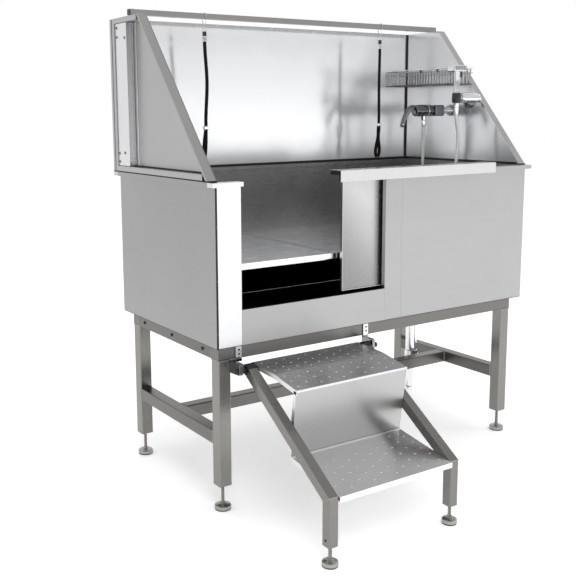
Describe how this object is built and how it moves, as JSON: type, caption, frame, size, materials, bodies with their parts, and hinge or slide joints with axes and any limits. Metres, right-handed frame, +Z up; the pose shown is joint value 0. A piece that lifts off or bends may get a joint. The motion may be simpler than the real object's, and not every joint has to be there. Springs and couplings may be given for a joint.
{
  "type": "pet bathtub",
  "caption": "Stainless steel pet grooming bathtub with sliding door, fold-up stairs, splash walls, overhead rail with restraint straps, mixer tap, hand shower and wire rack.",
  "frame": {"origin": "middle of the whole object's box at floor level", "axes": "+Z up, +X to the right along the tub seen from the front, +Y from the stairs towards the back wall"},
  "size_m": [1.276, 1.033, 1.4517],
  "materials": {
    "panel_steel": "fine brushed stainless sheet",
    "frame_steel": "brushed stainless tube",
    "chrome": "polished chrome",
    "dark_chrome": "polished chrome with dark reflections",
    "black_rubber": "matt",
    "black_plastic": "moulded",
    "black_webbing": "woven nylon",
    "hose_grey": "smooth light grey hose",
    "black_steel": "black"
  },
  "bodies": {
    "tub": {"back_splash_panel": "panel_steel", "drain_pipe": "chrome", "drain_tail": "chrome", "floor_pan": "panel_steel", "floor_plate_right": "panel_steel", "floor_support_front": "panel_steel", "front_left_post": "panel_steel", "front_right_panel": "panel_steel", "hinge_bracket_left": "dark_chrome", "hinge_bracket_right": "dark_chrome", "left_slanted_post": "panel_steel", "left_splash_panel": "panel_steel", "left_wall": "panel_steel", "leg_front_left": "frame_steel", "leg_front_right": "frame_steel", "leg_rear_left": "frame_steel", "leg_rear_right": "frame_steel", "mixer_body": "dark_chrome", "overhead_rail": "panel_steel", "rail_cap_left": "black_plastic", "rail_cap_right": "black_plastic", "rear_wall": "panel_steel", "right_slanted_post": "panel_steel", "right_splash_panel": "panel_steel", "right_wall": "panel_steel", "shower_bracket": "chrome", "shower_cradle": "black_plastic", "shower_hose": "hose_grey", "sill_panel": "panel_steel", "splash_gasket": "black_rubber", "stretcher_centre": "frame_steel", "stretcher_left": "frame_steel", "stretcher_right": "frame_steel", "upper_rail_front": "frame_steel", "upper_rail_left": "frame_steel", "upper_rail_rear": "frame_steel", "upper_rail_right": "frame_steel", "wire_rack": "chrome"},
    "door": {"sliding_door": "panel_steel"},
    "stairs": {"stair_stringer_left": "frame_steel", "stair_stringer_right": "frame_steel", "stair_riser": "panel_steel", "stair_tread_upper": "panel_steel", "stair_tread_lower": "panel_steel", "stair_axle": "black_steel"},
    "mixer_cap": {"mixer_cap": "dark_chrome"},
    "mixer_lever": {"mixer_lever": "dark_chrome"},
    "hand_shower": {"hand_shower": "chrome"},
    "strap_hook_left": {"strap_hook_left": "chrome"},
    "strap_hook_right": {"strap_hook_right": "chrome"},
    "strap_left": {"strap_left": "black_webbing"},
    "strap_right": {"strap_right": "black_webbing"},
    "floor_plate_left": {"floor_plate_left": "panel_steel"},
    "drain_strainer": {"drain_strainer": "chrome"},
    "foot_front_left": {"foot_front_left": "chrome"},
    "foot_front_right": {"foot_front_right": "chrome"},
    "foot_rear_left": {"foot_rear_left": "chrome"},
    "foot_rear_right": {"foot_rear_right": "chrome"},
    "foot_stair_left": {"foot_stair_left": "chrome"},
    "foot_stair_right": {"foot_stair_right": "chrome"}
  },
  "joints": [
    {"name": "door_slide", "type": "slide", "parent": "tub", "child": "door", "axis": [1, 0, 0], "range_m": [-0.375, 0.14]},
    {"name": "stairs_fold", "type": "hinge", "parent": "tub", "child": "stairs", "pos_m": [0, -0.1265, 0.424], "axis": [-1, 0, 0], "range_deg": [0, 90]},
    {"name": "mixer_temperature", "type": "hinge", "parent": "tub", "child": "mixer_cap", "pos_m": [0.443, 0.2615, 1.137], "axis": [1, 0, 0], "range_deg": [-50, 50]},
    {"name": "mixer_flow", "type": "hinge", "parent": "mixer_cap", "child": "mixer_lever", "pos_m": [0.4322, 0.2615, 1.148], "axis": [0, 1, 0], "range_deg": [0, 25]},
    {"name": "hand_shower_lift", "type": "slide", "parent": "tub", "child": "hand_shower", "axis": [0, 0, 1], "range_m": [0, 0.12]},
    {"name": "strap_left_travel", "type": "slide", "parent": "tub", "child": "strap_hook_left", "axis": [1, 0, 0], "range_m": [-0.19, 0.3]},
    {"name": "strap_right_travel", "type": "slide", "parent": "tub", "child": "strap_hook_right", "axis": [1, 0, 0], "range_m": [-0.3, 0.08]},
    {"name": "strap_left_swing", "type": "hinge", "parent": "strap_hook_left", "child": "strap_left", "pos_m": [-0.373, 0.3665, 1.398], "axis": [1, 0, 0], "range_deg": [-60, 12]},
    {"name": "strap_right_swing", "type": "hinge", "parent": "strap_hook_right", "child": "strap_right", "pos_m": [0.366, 0.3665, 1.398], "axis": [1, 0, 0], "range_deg": [-60, 12]},
    {"name": "floor_plate_left_lift", "type": "slide", "parent": "tub", "child": "floor_plate_left", "axis": [0, 0, 1], "range_m": [0, 0.2]},
    {"name": "drain_strainer_lift", "type": "slide", "parent": "tub", "child": "drain_strainer", "axis": [0, 0, 1], "range_m": [0, 0.03]},
    {"name": "foot_front_left_height", "type": "slide", "parent": "tub", "child": "foot_front_left", "axis": [0, 0, 1], "range_m": [0, 0.03]},
    {"name": "foot_front_right_height", "type": "slide", "parent": "tub", "child": "foot_front_right", "axis": [0, 0, 1], "range_m": [0, 0.03]},
    {"name": "foot_rear_left_height", "type": "slide", "parent": "tub", "child": "foot_rear_left", "axis": [0, 0, 1], "range_m": [0, 0.03]},
    {"name": "foot_rear_right_height", "type": "slide", "parent": "tub", "child": "foot_rear_right", "axis": [0, 0, 1], "range_m": [0, 0.03]},
    {"name": "foot_stair_left_height", "type": "slide", "parent": "stairs", "child": "foot_stair_left", "axis": [0, 0, 1], "range_m": [0, 0.03]},
    {"name": "foot_stair_right_height", "type": "slide", "parent": "stairs", "child": "foot_stair_right", "axis": [0, 0, 1], "range_m": [0, 0.03]}
  ]
}
